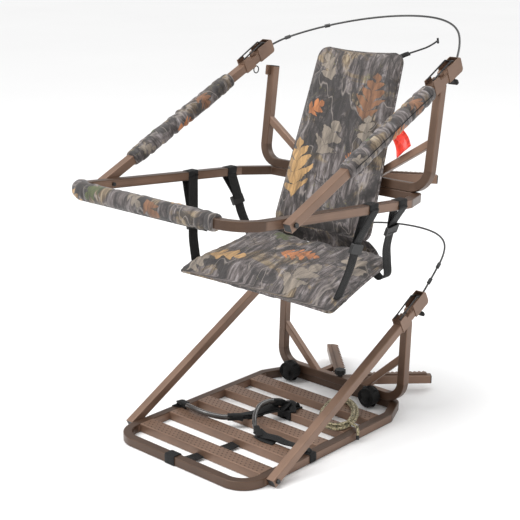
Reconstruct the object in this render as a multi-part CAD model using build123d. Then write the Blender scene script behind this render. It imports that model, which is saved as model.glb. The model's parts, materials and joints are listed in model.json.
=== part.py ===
from build123d import *
from math import cos, radians, sin, tan
import os

# Climbing tree stand: a foot platform resting on the ground and a seat section above it.
# Millimetres.  X is across the stand, +Y points to the tree, +Z is up.
# The origin is the middle of the underside of the middle foot slat.

# ---- driving dimensions: tube stock ----
TUBE = 25.4
WALL = 1.6
TUBE_CORNER = 2.6
HALF = TUBE / 2
BRACE = 20.0
CLEAR = 0.4

# ---- driving dimensions: foot platform ----
PLATFORM_HALF_WIDTH = 257.0
PLATFORM_FRONT = -340.0
PLATFORM_REAR = 384.0
PLATFORM_BEND = 285.0
REAR_INSET = 44.0
PLATFORM_FRONT_RADIUS = 78.0
BEND_RADIUS = 30.0
SLAT_COUNT = 5
SLAT_WIDTH = 50.0
SLAT_PITCH = 115.0
SLAT_WALL = 1.5
PLATFORM_HOOP_HALF = 233.3
PLATFORM_HOOP_Y = PLATFORM_REAR - HALF - 8.5
PLATFORM_HOOP_Z = 1.5 * TUBE
PLATFORM_HOOP_RISE = 241.8
PLATFORM_HOOP_LEAN = 2.6
HOOP_RADIUS = 55.0
PLATFORM_BRACE_FOOT = 85.0
PLATFORM_BRACE_RISE = 137.0

# ---- driving dimensions: trunk arms, the toothed V that bites the tree ----
TRUNK_ARM_LENGTH = 280.0
TRUNK_ARM_ANGLE = 45.0
TOOTH_PITCH = 14.0
TOOTH_DEPTH = 9.0
TOOTH_SHEET = 3.0
TOOTH_STRIP_WIDTH = 14.0
STRUT_X = 82.0
STRUT_WIDTH = 18.0

# ---- driving dimensions: folding arms ----
ARM_GAP = 2.0
PIVOT_BOLT = 8.0
RUNNING_FIT = 0.1
PLATFORM_PIVOT_Y = -246.4
PLATFORM_PIVOT_Z = 18.3
PLATFORM_ARM_ANGLE = 27.8
PLATFORM_ARM_REACH = 721.4
PLATFORM_ARM_TAIL = 12.0
SEAT_PIVOT_Y = -615.5
SEAT_ARM_ANGLE = 29.7
SEAT_ARM_REACH = 740.0
SEAT_ARM_TAIL = 16.0

# ---- driving dimensions: cable bracket at the end of each folding arm ----
SHEET = 2.3
COLLAR_START = -126.0
COLLAR_END = -84.0
COLLAR_RIM = 27.0
BLOCK_START = -58.0
BLOCK_END = 8.0
BLOCK_TOP = 28.0
BAIL_WIRE = 4.4
BAIL_HALF = 9.8
BAIL_FREE = -120.0
BAIL_SHOULDER = -28.0
BAIL_PIVOT = -8.0
BAIL_PIVOT_T = 18.5
BAIL_LOW_T = 28.0
BAIL_HIGH_T = 34.0
LUG_S = -72.0
KNOB_S = -28.0
RING_S = -76.0
PIN = 6.0
RING_RADIUS = 10.5
RING_WIRE = 3.4

# ---- driving dimensions: seat section ----
SEAT_Y = 348.6
SEAT_Z = 662.4
SEAT_TILT = 4.9
SEAT_HALF_WIDTH = 326.0
SEAT_FRONT = -758.0 - HALF
SEAT_BEND = -100.0
SEAT_REAR_INSET = 46.0
SEAT_FRONT_RADIUS = 88.0
SEAT_HOOP_HALF = 303.5
SEAT_HOOP_RISE = 288.3
SEAT_HOOP_LEAN = 3.3
SEAT_BRACE_FOOT = 100.0
SEAT_BRACE_RISE = 134.0

# ---- driving dimensions: padding and webbing ----
CUSHION_THICK = 44.0
CUSHION_FRONT = (-42.0, 432.0)
CUSHION_REAR = (272.0, 496.0)
CUSHION_FRONT_HALF = 280.0
CUSHION_REAR_HALF = 236.0
BACK_FOOT = (255.0, 533.0)
BACK_TOP = (433.0, 1040.0)
BACK_FOOT_HALF = 178.0
BACK_TOP_HALF = 151.0
BACK_THICK = 34.0
PAD_RADIUS = 25.0
PAD_END = 232.0
PAD_ELBOW = 62.0
BUNDLE_RADIUS = 31.0
BUNDLE_WIDTH = 44.0
BUNDLE_PLACES = [(-172, 34), (140, 34)]
WEB = 36.0
WEB_THICK = 2.4

# ---- driving dimensions: cables and rope ----
CABLE = 6.0
STOP_DIAMETER = 11.0
STOP_LENGTH = 17.0
LANYARD = 5.0
ROPE = 8.0
ROPE_HANK = (150.0, 172.0)
ROPE_HANK_LONG = 100.0
ROPE_HANK_SHORT = 46.0
ROPE_HANK_TURN = 122.0
ROPE_HANK_HEIGHT = 18.0

UPPER_CABLE = [
    (-335, 412, 1033), (-329, 446, 1046), (-304, 492, 1062), (-264, 540, 1079), (-208, 586, 1096),
    (-138, 628, 1111), (-55, 656, 1122), (32, 662, 1127), (112, 646, 1126), (182, 611, 1118),
    (240, 562, 1105), (285, 506, 1086), (318, 452, 1058), (335, 412, 1033),
]
LOWER_CABLE = [
    (-266, 396, 363), (-265, 430, 380), (-258, 482, 407), (-236, 538, 431), (-196, 588, 450),
    (-138, 630, 464), (-65, 656, 473), (15, 665, 478), (95, 657, 480), (165, 628, 479),
    (220, 580, 470), (252, 520, 448), (264, 458, 413), (266, 416, 380), (266, 396, 363),
]
LANYARD_ROUTE = [(140, 456, 1038), (142, 480, 1041), (141, 520, 1045), (143, 565, 1051), (140, 606, 1062)]
ROPE_TAIL = [(210, 141, 34), (230, 133, 35), (247, 126, 38), (261, 120, 34), (265, 113, 18)]

SEAT_PLACE = Pos(0, SEAT_Y, SEAT_Z) * Rot(-SEAT_TILT, 0, 0)
PLATFORM_ARM_PLACE = Pos(0, PLATFORM_PIVOT_Y, PLATFORM_PIVOT_Z) * Rot(PLATFORM_ARM_ANGLE, 0, 0)
SEAT_ARM_PLACE = SEAT_PLACE * Pos(0, SEAT_PIVOT_Y, 0) * Rot(SEAT_ARM_ANGLE, 0, 0)
PLATFORM_ARM_X = PLATFORM_HALF_WIDTH + ARM_GAP + HALF
SEAT_ARM_X = SEAT_HALF_WIDTH + ARM_GAP + HALF

parts = {}


def both_sides(shape):
    """A right-hand piece and its mirror image."""
    return shape + mirror(shape, about=Plane.YZ)


def square_tube(path, size, side, wall=WALL):
    """A filled bar and a hollow tube of square section along a path."""
    start = Plane(origin=path @ 0, x_dir=side, z_dir=path % 0)
    filled = sweep(start * RectangleRounded(size, size, TUBE_CORNER), path=path)
    inner = size - 2 * wall
    bore = sweep(start * RectangleRounded(inner, inner, TUBE_CORNER - wall), path=path)
    return filled, filled - bore


def round_bar(path, diameter):
    """A round bar along a path."""
    start = Plane(origin=path @ 0, z_dir=path % 0)
    return sweep(start * Circle(diameter / 2), path=path)


def cross_bore(diameter, y, z):
    """A drill right across the stand, along X."""
    return Pos(0, y, z) * Rot(0, 90, 0) * Cylinder(diameter / 2, 4 * SEAT_HALF_WIDTH)


def frame_outline(half_width, front, bend, rear, inset, corner):
    """The outer outline of a section frame: round front corners, bent-in rear corners."""
    corners = [
        (-half_width, front), (half_width, front), (half_width, bend),
        (half_width - inset, rear), (-half_width + inset, rear), (-half_width, bend),
    ]
    face = make_face(Polyline(*corners, close=True))
    at_front = [v for v in face.vertices() if v.Y < front + 1]
    face = fillet(at_front, corner)
    at_rear = [v for v in face.vertices() if v.Y > bend - 1]
    return fillet(at_rear, BEND_RADIUS)


def frame_tube(outline):
    """The closed square-tube loop inside an outline, centred on z = 0."""
    ring = outline - offset(outline, -TUBE, kind=Kind.INTERSECTION)
    filled = Pos(0, 0, -HALF) * extrude(ring, TUBE)
    rims = filled.edges().group_by(Axis.Z)
    filled = fillet(rims[0] + rims[-1], TUBE_CORNER)
    inner = offset(outline, -WALL, kind=Kind.INTERSECTION)
    inner_ring = inner - offset(outline, WALL - TUBE, kind=Kind.INTERSECTION)
    bore = Pos(0, 0, WALL - HALF) * extrude(inner_ring, TUBE - 2 * WALL)
    return filled, filled - bore


def leaning_plane(y, z, lean):
    """The plane of a hoop that leans back by an angle."""
    return Plane(origin=(0, y, z), x_dir=(1, 0, 0), z_dir=(0, -cos(radians(lean)), sin(radians(lean))))


def hoop(plane, half_width, rise):
    """The U-shaped hoop tube, standing on the rear cross tube."""
    points = [(-half_width, rise), (-half_width, 0), (half_width, 0), (half_width, rise)]
    route = FilletPolyline(*[plane.from_local_coords((x, z, 0)) for x, z in points], radius=HOOP_RADIUS)
    return square_tube(route, TUBE, plane.z_dir)


def hoop_braces(plane, half_width, foot, rise, hoop_filled):
    """Two diagonal braces from the hoop's crossbar to its uprights."""
    low = plane.from_local_coords((foot, 0, 0))
    high = plane.from_local_coords((half_width, rise, 0))
    tube = square_tube(Line(low, high), BRACE, plane.z_dir)[1]
    return both_sides(tube - hoop_filled)


def hoop_plugs(plane, half_width, rise):
    """Plastic plugs in the open tops of the uprights."""
    top = Plane(
        origin=plane.from_local_coords((half_width, rise, 0)),
        x_dir=plane.x_dir,
        z_dir=plane.y_dir,
    )
    return both_sides(top * tube_plug())


def tube_plug():
    """A square end plug: a domed flange and a shank that fits the tube."""
    flange = extrude(RectangleRounded(TUBE - 0.6, TUBE - 0.6, TUBE_CORNER), 3)
    flange = fillet(flange.faces().sort_by(Axis.Z)[-1].edges(), 1.2)
    shank_size = TUBE - 2 * WALL
    shank = Pos(0, 0, -12) * extrude(RectangleRounded(shank_size, shank_size, TUBE_CORNER - WALL), 12)
    return flange + shank


def hoop_tabs(plane, half_width, rise):
    """A small plate welded to the front of each upright, beside the arm's bracket."""
    plate = Pos(half_width + 5, rise - 12, HALF + 8) * Box(5, 30, 16)
    plate = fillet(plate.edges().filter_by(Axis.X), 4)
    return both_sides(plane.location * plate)


def trunk_arms(y, z, hoop_filled, frame_filled):
    """The two arms of the V, mitred to each other behind the crossbar."""
    run = Vector(sin(radians(TRUNK_ARM_ANGLE)), cos(radians(TRUNK_ARM_ANGLE)), 0)
    start = Vector(0, y, z) - run * TUBE
    end = Vector(0, y, z) + run * TRUNK_ARM_LENGTH
    filled, tube = square_tube(Line(start, end), TUBE, (0, 0, 1))
    keep = Pos(0, y, z) * Box(800, 1200, 200, align=(Align.MIN, Align.CENTER, Align.CENTER))
    solid = (filled & keep) - hoop_filled - frame_filled
    tube = (tube & keep) - hoop_filled - frame_filled
    tube = tube.solids().sort_by(Axis.Y)[-1]
    solid = solid.solids().sort_by(Axis.Y)[-1]
    plug = Plane(origin=end, x_dir=(0, 0, 1), z_dir=run) * tube_plug()
    return both_sides(solid), both_sides(tube), both_sides(plug)


def trunk_teeth(y, z):
    """Serrated strips on top of the trunk arms, teeth towards the tree."""
    first = 60.0
    count = int((TRUNK_ARM_LENGTH - first) / TOOTH_PITCH)
    outline = [(first, 0)]
    for i in range(count):
        outline.append((first + i * TOOTH_PITCH, TOOTH_STRIP_WIDTH))
        outline.append((first + (i + 0.45) * TOOTH_PITCH, TOOTH_STRIP_WIDTH + TOOTH_DEPTH))
    outline.append((first + count * TOOTH_PITCH, TOOTH_STRIP_WIDTH))
    outline.append((first + count * TOOTH_PITCH, 0))
    strip = extrude(make_face(Polyline(*outline, close=True)), TOOTH_SHEET)
    place = Pos(0, y, z + HALF) * Rot(0, 0, 90 - TRUNK_ARM_ANGLE)
    return both_sides(place * strip)


def trunk_struts(y, z, hoop_filled, arms_filled):
    """Short straight struts from the crossbar back to the trunk arms."""
    route = Line((STRUT_X, y, z), (STRUT_X, y + STRUT_X, z))
    tube = square_tube(route, STRUT_WIDTH, (0, 0, 1))[1]
    piece = tube - hoop_filled - arms_filled
    return both_sides(piece.solids().sort_by(Axis.Y)[0])


def folding_arm(x, reach, tail, holes):
    """A folding arm in its own frame: pivot at the origin, +Y along the arm."""
    filled, tube = square_tube(Line((x, -tail, 0), (x, reach, 0)), TUBE, (1, 0, 0))
    drill = Pos(x, 0, 0) * Rot(0, 90, 0) * Cylinder((PIVOT_BOLT + RUNNING_FIT) / 2, 2 * TUBE)
    tube = tube - drill
    for s in holes:
        tube -= Pos(x, reach + s, -HALF) * Cylinder((PIN + RUNNING_FIT) / 2, TUBE / 2)
    return filled, tube


def arm_plugs(x, tail, place):
    """Black plugs in the lower ends of the folding arms."""
    end = Plane(origin=(x, -tail, 0), x_dir=(1, 0, 0), z_dir=(0, -1, 0))
    flange = extrude(RectangleRounded(TUBE - 3.4, TUBE - 3.4, 1), 2)
    return both_sides(place * (Pos(0, 2, 0) * (end * flange)))


def pivot_bolt(x_inner, x_outer):
    """A hex bolt with its barrel nut, along +X, between two faces."""
    shank = Pos(x_inner, 0, 0) * Rot(0, 90, 0) * extrude(Circle(PIVOT_BOLT / 2), x_outer - x_inner)
    head = Pos(x_outer, 0, 0) * Rot(0, 90, 0) * extrude(RegularPolygon(7.2, 6), 5)
    nut = Pos(x_inner, 0, 0) * Rot(0, -90, 0) * extrude(Circle(5.2), 6)
    return shank + head + nut


def cable_collar(x, reach):
    """Sheet collar around the arm, with raised cheeks that guide the wire bail."""
    length = COLLAR_END - COLLAR_START
    wide = TUBE + 2 * SHEET
    middle = reach + (COLLAR_START + COLLAR_END) / 2
    sleeve = Pos(x, middle, 0) * Box(wide, length, wide)
    rim_run = length * 0.72
    rim = Pos(x, reach + COLLAR_START + rim_run / 2, COLLAR_RIM / 2) * Box(wide, rim_run, COLLAR_RIM)
    rim_edges = rim.edges().filter_by(Axis.X).sort_by(Axis.Z)[-2:].sort_by(Axis.Y)[-1]
    rim = fillet(rim_edges, 9)
    hole = Pos(x, middle, 0) * Box(TUBE, 2 * length, TUBE)
    slot = Pos(x, middle, HALF + SHEET + 20) * Box(TUBE, 2 * length, 40)
    return sleeve + rim - hole - slot


def cable_block(x, reach):
    """U-shaped end block over the arm's end: two cheeks and a closed rear web."""
    length = BLOCK_END - BLOCK_START
    wide = TUBE + 2 * SHEET
    bottom = -HALF - SHEET
    body = Pos(x, reach + BLOCK_END - length / 2, (BLOCK_TOP + bottom) / 2) * Box(wide, length, BLOCK_TOP - bottom)
    corners = body.edges().filter_by(Axis.X).sort_by(Axis.Y)
    body = fillet(corners[-2:], 9)
    body = fillet(body.edges().filter_by(Axis.X).sort_by(Axis.Y)[:1], 4)
    room = Pos(x, reach - length / 2, BLOCK_TOP / 2) * Box(TUBE, length, BLOCK_TOP + TUBE + 0.01)
    cavity = room - Pos(x, reach, bottom) * Box(TUBE, 4 * length, 2 * SHEET)
    return body - cavity


def latch_lug(x, reach):
    """Small rounded lug on top of the arm, between the bail's wires."""
    lug = Pos(x, reach + LUG_S, HALF + 7.5) * Box(9, 15, 15)
    return fillet(lug.edges().filter_by(Axis.X).sort_by(Axis.Z)[-2:], 6)


def wire_bail(x, reach):
    """A U of wire: its cross wire turns in the end block, its legs reach the collar."""
    spine = [
        (x - BAIL_HALF, reach + BAIL_FREE, BAIL_LOW_T),
        (x - BAIL_HALF, reach + BAIL_SHOULDER, BAIL_HIGH_T),
        (x - BAIL_HALF, reach + BAIL_PIVOT, BAIL_PIVOT_T),
        (x + BAIL_HALF, reach + BAIL_PIVOT, BAIL_PIVOT_T),
        (x + BAIL_HALF, reach + BAIL_SHOULDER, BAIL_HIGH_T),
        (x + BAIL_HALF, reach + BAIL_FREE, BAIL_LOW_T),
    ]
    return round_bar(FilletPolyline(*spine, radius=4.5), BAIL_WIRE)


def lock_knob(x, reach):
    """Wing knob under the end block, with its stud in the arm."""
    stud = Pos(x, reach + KNOB_S, -24) * extrude(Circle(PIN / 2), 21)
    hub = Pos(x, reach + KNOB_S, -32) * extrude(Circle(8), 14)
    wing = Pos(x, reach + KNOB_S, -31) * Box(34, 5, 15)
    wing = fillet(wing.edges().filter_by(Axis.Y), 5)
    return stud + hub + wing


def pull_ring(x, reach):
    """Pull ring with its plunger pin, under the arm."""
    pin = Pos(x, reach + RING_S, -22) * extrude(Circle(PIN / 2), 18)
    ring = Pos(x, reach + RING_S, -22 - RING_RADIUS) * Rot(0, 90, 0) * Torus(RING_RADIUS, RING_WIRE / 2)
    return pin + ring


def cord_tube(name, route, diameter):
    """A cord as straight runs joined by the largest tangent arcs that fit."""
    points = [Vector(*p) for p in route]
    radii = []
    for before, here, after in zip(points, points[1:], points[2:]):
        arrive = here - before
        leave = after - here
        shorter = min(arrive.length, leave.length)
        radii.append(0.45 * shorter / tan(radians(arrive.get_angle(leave)) / 2))
    path = FilletPolyline(*points, radius=radii)
    tube = round_bar(path, diameter)
    share = tube.volume / (Circle(diameter / 2).area * path.length)
    print(name, "length", round(path.length), "volume share", round(share, 4), [round(r) for r in radii])
    return tube


def cable_stops(route, runs):
    """Crimped sleeves on a cable, each in the middle of one run of its route."""
    stops = []
    for i in runs:
        start = Vector(*route[i])
        end = Vector(*route[i + 1])
        place = Plane(origin=(start + end) * 0.5, z_dir=end - start)
        sleeve = extrude(Circle(STOP_DIAMETER / 2) - Circle(CABLE / 2 + 0.2), STOP_LENGTH / 2, both=True)
        stops.append(place * sleeve)
    return Compound(stops)


def ribbon(start, end, width_dir, width=WEB, thickness=WEB_THICK):
    """A flat length of webbing between two points."""
    run = Vector(*end) - Vector(*start)
    place = Plane(origin=start, x_dir=width_dir, z_dir=run)
    return place * extrude(RectangleRounded(width, thickness, thickness * 0.4), run.length)


def rail_wrap(x, y, filled):
    """Webbing wrapped once around a side rail of the seat frame."""
    outer = TUBE + 2 * WEB_THICK
    return Pos(x, y, 0) * extrude(RectangleRounded(outer, WEB, 1), outer / 2, both=True) - filled


def slider_buckle(start, end, width_dir, along):
    """A rectangular slider frame on a strap."""
    middle = Vector(*start) + (Vector(*end) - Vector(*start)) * along
    place = Plane(origin=middle, x_dir=width_dir, z_dir=Vector(*end) - Vector(*start))
    frame = Box(WEB + 12, 9, 28)
    frame = fillet(frame.edges().filter_by(Axis.Y), 4)
    window = Box(WEB + 1, WEB_THICK + 0.8, 60)
    return place * (frame - window)


def open_saddle(width, deep, tall):
    """A webbing wrap over a tube that rests on the ground, open underneath."""
    lift = 0.5
    outer = Pos(0, 0, (tall + lift) / 2) * Box(width, deep, tall - lift)
    return fillet(outer.edges().filter_by(Axis.X).sort_by(Axis.Z)[-2:], WEB_THICK)


def cushion_panel(front, rear, front_half, rear_half, thick, corner):
    """A flat pad between two edges given as (y, z), with rounded corners."""
    run = Vector(0, rear[0] - front[0], rear[1] - front[1])
    place = Plane(origin=(0, front[0], front[1]), x_dir=(1, 0, 0), z_dir=Vector(1, 0, 0).cross(run))
    outline = [(-front_half, 0), (front_half, 0), (rear_half, run.length), (-rear_half, run.length)]
    face = make_face(Polyline(*outline, close=True))
    face = fillet(face.vertices(), corner)
    slab = extrude(face, thick / 2, both=True)
    return place * slab


def build_platform():
    """The foot platform: frame, slats, hoop, toothed V and foot straps."""
    outline = frame_outline(
        PLATFORM_HALF_WIDTH, PLATFORM_FRONT, PLATFORM_BEND, PLATFORM_REAR, REAR_INSET, PLATFORM_FRONT_RADIUS
    )
    frame_filled, frame = frame_tube(outline)
    frame_filled = Pos(0, 0, HALF) * frame_filled
    frame = Pos(0, 0, HALF) * frame
    bolt_hole = cross_bore(PIVOT_BOLT, PLATFORM_PIVOT_Y, PLATFORM_PIVOT_Z)
    parts["platform_frame"] = frame - bolt_hole

    slat_run = 2 * (PLATFORM_HALF_WIDTH - TUBE)
    bar = Box(slat_run, SLAT_WIDTH, TUBE)
    bar = fillet(bar.edges().filter_by(Axis.X), TUBE_CORNER)
    slat = bar - Box(slat_run + 1, SLAT_WIDTH - 2 * SLAT_WALL, TUBE - 2 * SLAT_WALL)
    places = [Pos(0, (i - SLAT_COUNT // 2) * SLAT_PITCH, HALF) for i in range(SLAT_COUNT)]
    parts["platform_slats"] = Compound([place * slat for place in places])

    plane = leaning_plane(PLATFORM_HOOP_Y, PLATFORM_HOOP_Z, PLATFORM_HOOP_LEAN)
    hoop_filled, hoop_part = hoop(plane, PLATFORM_HOOP_HALF, PLATFORM_HOOP_RISE)
    tabs = hoop_tabs(plane, PLATFORM_HOOP_HALF, PLATFORM_HOOP_RISE) - hoop_filled
    stud_hole = Pos(0, PLATFORM_HOOP_Y, PLATFORM_HOOP_Z + HALF) * Cylinder((PIN + RUNNING_FIT) / 2, 8)
    parts["platform_hoop"] = hoop_part - frame_filled - stud_hole + tabs
    parts["platform_hoop_braces"] = hoop_braces(
        plane, PLATFORM_HOOP_HALF, PLATFORM_BRACE_FOOT, PLATFORM_BRACE_RISE, hoop_filled
    )

    solid, tube, plugs = trunk_arms(PLATFORM_HOOP_Y, PLATFORM_HOOP_Z, hoop_filled, frame_filled)
    parts["platform_trunk_arms"] = tube - stud_hole
    parts["platform_tube_plugs"] = plugs + hoop_plugs(plane, PLATFORM_HOOP_HALF, PLATFORM_HOOP_RISE)
    parts["platform_trunk_teeth"] = trunk_teeth(PLATFORM_HOOP_Y, PLATFORM_HOOP_Z)
    parts["platform_trunk_struts"] = trunk_struts(PLATFORM_HOOP_Y, PLATFORM_HOOP_Z, hoop_filled, solid)
    parts["platform_trunk_knob"] = trunk_knob()

    bolt = pivot_bolt(PLATFORM_HALF_WIDTH - TUBE, PLATFORM_ARM_X + HALF + CLEAR)
    parts["platform_pivot_bolts"] = both_sides(Pos(0, PLATFORM_PIVOT_Y, PLATFORM_PIVOT_Z) * bolt)


def trunk_knob():
    """Lobed plastic knob standing on the crossbar."""
    top = PLATFORM_HOOP_Z + HALF
    body = Circle(15)
    for i in range(8):
        body += Rot(0, 0, 45 * i) * Pos(14.5, 0, 0) * Circle(2.6)
    head = fillet(extrude(body, 14).faces().sort_by(Axis.Z)[-1].edges(), 1.0)
    neck = Pos(0, 0, -7) * extrude(Circle(8), 7)
    stud = Pos(0, 0, -11) * extrude(Circle(PIN / 2), 5)
    return Pos(0, PLATFORM_HOOP_Y, top + 7 + 2 * CLEAR) * (head + neck + stud)


def build_foot_straps():
    """Foot loops, webbing wraps, rolled straps and the tether rope on the platform."""
    top = TUBE
    left_loop = [(-226, -90, 36), (-178, -100, 40), (-124, -98, 38), (-78, -78, 34), (-52, -52, 34)]
    right_loop = [(-8, 86, 50), (-14, 52, 60), (-12, 10, 60), (6, -30, 50), (34, -62, 38), (66, -84, 34)]
    parts["foot_loop_left"] = round_bar(FilletPolyline(*left_loop, radius=28), 14)
    parts["foot_loop_right"] = round_bar(FilletPolyline(*right_loop, radius=28), 14)
    flat = WEB * 0.7
    left_web = ribbon((-50, -49, 33), (-12, 86, 33), (0.97, -0.24, 0), flat)
    right_web = ribbon((69, -86, 32), (231, -76, 32), (0, 1, 0), flat)
    parts["foot_webbing"] = clear_of(left_web + right_web, ["foot_loop_left", "foot_loop_right"])
    slat_y = SLAT_PITCH
    saddle = open_saddle(WEB, SLAT_WIDTH + 2 * WEB_THICK, top + WEB_THICK)
    slat_bar = Pos(0, 0, HALF) * Box(2 * WEB, SLAT_WIDTH, TUBE)
    knot = Pos(0, -2, top + 11) * fillet(Box(32, 34, 16).edges(), 5)
    parts["center_strap"] = Pos(8, slat_y, 0) * (saddle - slat_bar + knot)
    parts["foot_webbing"] = clear_of(parts["foot_webbing"], ["center_strap"])
    side_x = PLATFORM_HALF_WIDTH - HALF - CLEAR
    left_side = mirror(Pos(side_x, -90, 0) * side_wrap(), about=Plane.YZ)
    parts["side_wraps"] = clear_of(Pos(side_x, -76, 0) * side_wrap() + left_side, ["platform_slats"])
    across = Pos(0, 0, HALF) * Box(4 * WEB, TUBE, TUBE)
    front = open_saddle(WEB, TUBE + 2 * WEB_THICK, top + WEB_THICK) - across
    front = Pos(-20, PLATFORM_FRONT + HALF, 0) * front
    first_slat = -(SLAT_COUNT // 2) * SLAT_PITCH - SLAT_WIDTH / 2
    run_one = ribbon((4, PLATFORM_FRONT + TUBE, 12), (14, first_slat, 8), (1, 0, 0), WEB)
    run_two = ribbon((26, first_slat + SLAT_WIDTH, 8), (36, first_slat + SLAT_PITCH, 8), (1, 0, 0), WEB)
    parts["front_strap"] = clear_of(front + run_one + run_two, ["platform_frame", "platform_slats"])
    roll = Rot(90, 0, 0) * extrude(Circle(BUNDLE_RADIUS), BUNDLE_WIDTH)
    roll = fillet(roll.edges(), 8)
    bundle_y = PLATFORM_HOOP_Y - HALF - 3 * CLEAR
    parts["strap_bundles"] = Compound([Pos(x, bundle_y, z) * roll for x, z in BUNDLE_PLACES])
    outer = Ellipse(ROPE_HANK_LONG + 1.5 * ROPE, ROPE_HANK_SHORT + 1.5 * ROPE)
    inner = Ellipse(ROPE_HANK_LONG - 1.5 * ROPE, ROPE_HANK_SHORT - 1.5 * ROPE)
    hank = extrude(outer - inner, ROPE_HANK_HEIGHT)
    parts["tether_hank"] = Pos(*ROPE_HANK, top + 0.3) * Rot(0, 0, ROPE_HANK_TURN) * hank
    parts["tether_tail"] = cord_tube("tether_tail", ROPE_TAIL, ROPE)
    tip_run = Vector(*ROPE_TAIL[-1]) - Vector(*ROPE_TAIL[-2])
    tip = Plane(origin=ROPE_TAIL[-1], z_dir=tip_run) * extrude(Circle(4.6), 12)
    parts["tether_tip"] = tip
    parts["tether_tail"] = clear_of(parts["tether_tail"], ["tether_hank"])


def side_wrap():
    """Webbing over a side tube: inner leg, top and a thin outer leg."""
    top = TUBE
    over = Pos(0, 0, top + WEB_THICK / 2) * Box(TUBE + 2 * CLEAR, WEB * 0.7, WEB_THICK)
    leg = Pos(-HALF - CLEAR, 0, 14) * Box(WEB_THICK, WEB * 0.7, 2 * (top - 13))
    return over + Pos(CLEAR - WEB_THICK / 2, 0, 0) * leg


def clear_of(shape, names):
    """A soft piece with the room of its neighbours cut away."""
    for name in names:
        shape = shape - parts[name]
    return shape


def build_seat_section():
    """The seat section's frame, hoop and toothed V, in its own frame, then placed."""
    outline = frame_outline(
        SEAT_HALF_WIDTH, SEAT_FRONT, SEAT_BEND, HALF, SEAT_REAR_INSET, SEAT_FRONT_RADIUS
    )
    frame_filled, frame = frame_tube(outline)
    parts["seat_frame"] = SEAT_PLACE * (frame - cross_bore(PIVOT_BOLT, SEAT_PIVOT_Y, 0))

    plane = leaning_plane(0, TUBE, SEAT_HOOP_LEAN)
    hoop_filled, hoop_part = hoop(plane, SEAT_HOOP_HALF, SEAT_HOOP_RISE)
    tabs = hoop_tabs(plane, SEAT_HOOP_HALF, SEAT_HOOP_RISE) - hoop_filled
    parts["seat_hoop"] = SEAT_PLACE * (hoop_part - frame_filled + tabs)
    braces = hoop_braces(plane, SEAT_HOOP_HALF, SEAT_BRACE_FOOT, SEAT_BRACE_RISE, hoop_filled)
    parts["seat_hoop_braces"] = SEAT_PLACE * braces

    tube, plugs = trunk_arms(0, TUBE, hoop_filled, frame_filled)[1:]
    parts["seat_trunk_arms"] = SEAT_PLACE * tube
    parts["seat_tube_plugs"] = SEAT_PLACE * (plugs + hoop_plugs(plane, SEAT_HOOP_HALF, SEAT_HOOP_RISE))
    parts["seat_trunk_teeth"] = SEAT_PLACE * trunk_teeth(0, TUBE)

    bolt = pivot_bolt(SEAT_HALF_WIDTH - TUBE, SEAT_ARM_X + HALF + CLEAR)
    parts["seat_pivot_bolts"] = SEAT_PLACE * both_sides(Pos(0, SEAT_PIVOT_Y, 0) * bolt)
    build_front_pad(frame_filled)
    build_seat_straps(frame_filled)
    parts["hang_tag"] = SEAT_PLACE * hang_tag()


def build_front_pad(frame_filled):
    """Padded sleeve on the front bar, from the left corner to near the right one."""
    y = SEAT_FRONT + HALF
    bend = SEAT_FRONT_RADIUS - HALF
    left = -SEAT_HALF_WIDTH + HALF
    straight = Pos(left + bend, y, 0) * Rot(0, 90, 0) * extrude(Circle(PAD_RADIUS), PAD_END - left - bend)
    elbow_section = Pos(left + bend, y, 0) * Rot(0, 90, 0) * Circle(PAD_RADIUS)
    elbow_axis = Axis((left + bend, y + bend, 0), (0, 0, 1))
    elbow = revolve(elbow_section, elbow_axis, -PAD_ELBOW)
    pad = (straight + elbow) - frame_filled
    parts["front_pad"] = SEAT_PLACE * pad


def build_seat_straps(frame_filled):
    """Four webbing straps from the side rails down to the seat's corners."""
    rail_x = SEAT_HALF_WIDTH - HALF
    layout = {
        "front_left": (-1, -312, (-268, 12, 447), 0.55),
        "rear_left": (-1, -148, (-240, 216, 491), 0.40),
        "front_right": (1, -274, (268, 4, 446), 0.40),
        "rear_right": (1, -146, (240, 226, 492), 0.36),
    }
    straps = {}
    buckles = []
    for name, (side, y, foot, along) in layout.items():
        wrap = SEAT_PLACE * rail_wrap(side * rail_x, y, frame_filled)
        top = (SEAT_PLACE * Pos(side * rail_x, y, -HALF - WEB_THICK)).position
        across = Vector(0, 1, 0)
        straps[name] = wrap + ribbon(tuple(top), foot, across)
        buckles.append(slider_buckle(tuple(top), foot, across, along) - straps[name])
    parts["seat_straps_left"] = clear_of(straps["front_left"] + straps["rear_left"], ["seat_frame"])
    parts["seat_straps_right"] = clear_of(straps["front_right"] + straps["rear_right"], ["seat_frame"])
    parts["strap_buckles"] = Compound(buckles)


def hang_tag():
    """Nylon warning-colour tag around the right brace of the seat hoop, plain on both sides."""
    outline = [(202, 76), (246, 117), (210, 166), (176, 134)]
    face = make_face(Polyline(*outline, close=True))
    return Pos(0, -HALF - 3, TUBE) * Rot(90, 0, 0) * extrude(face, 1.6)


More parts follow.
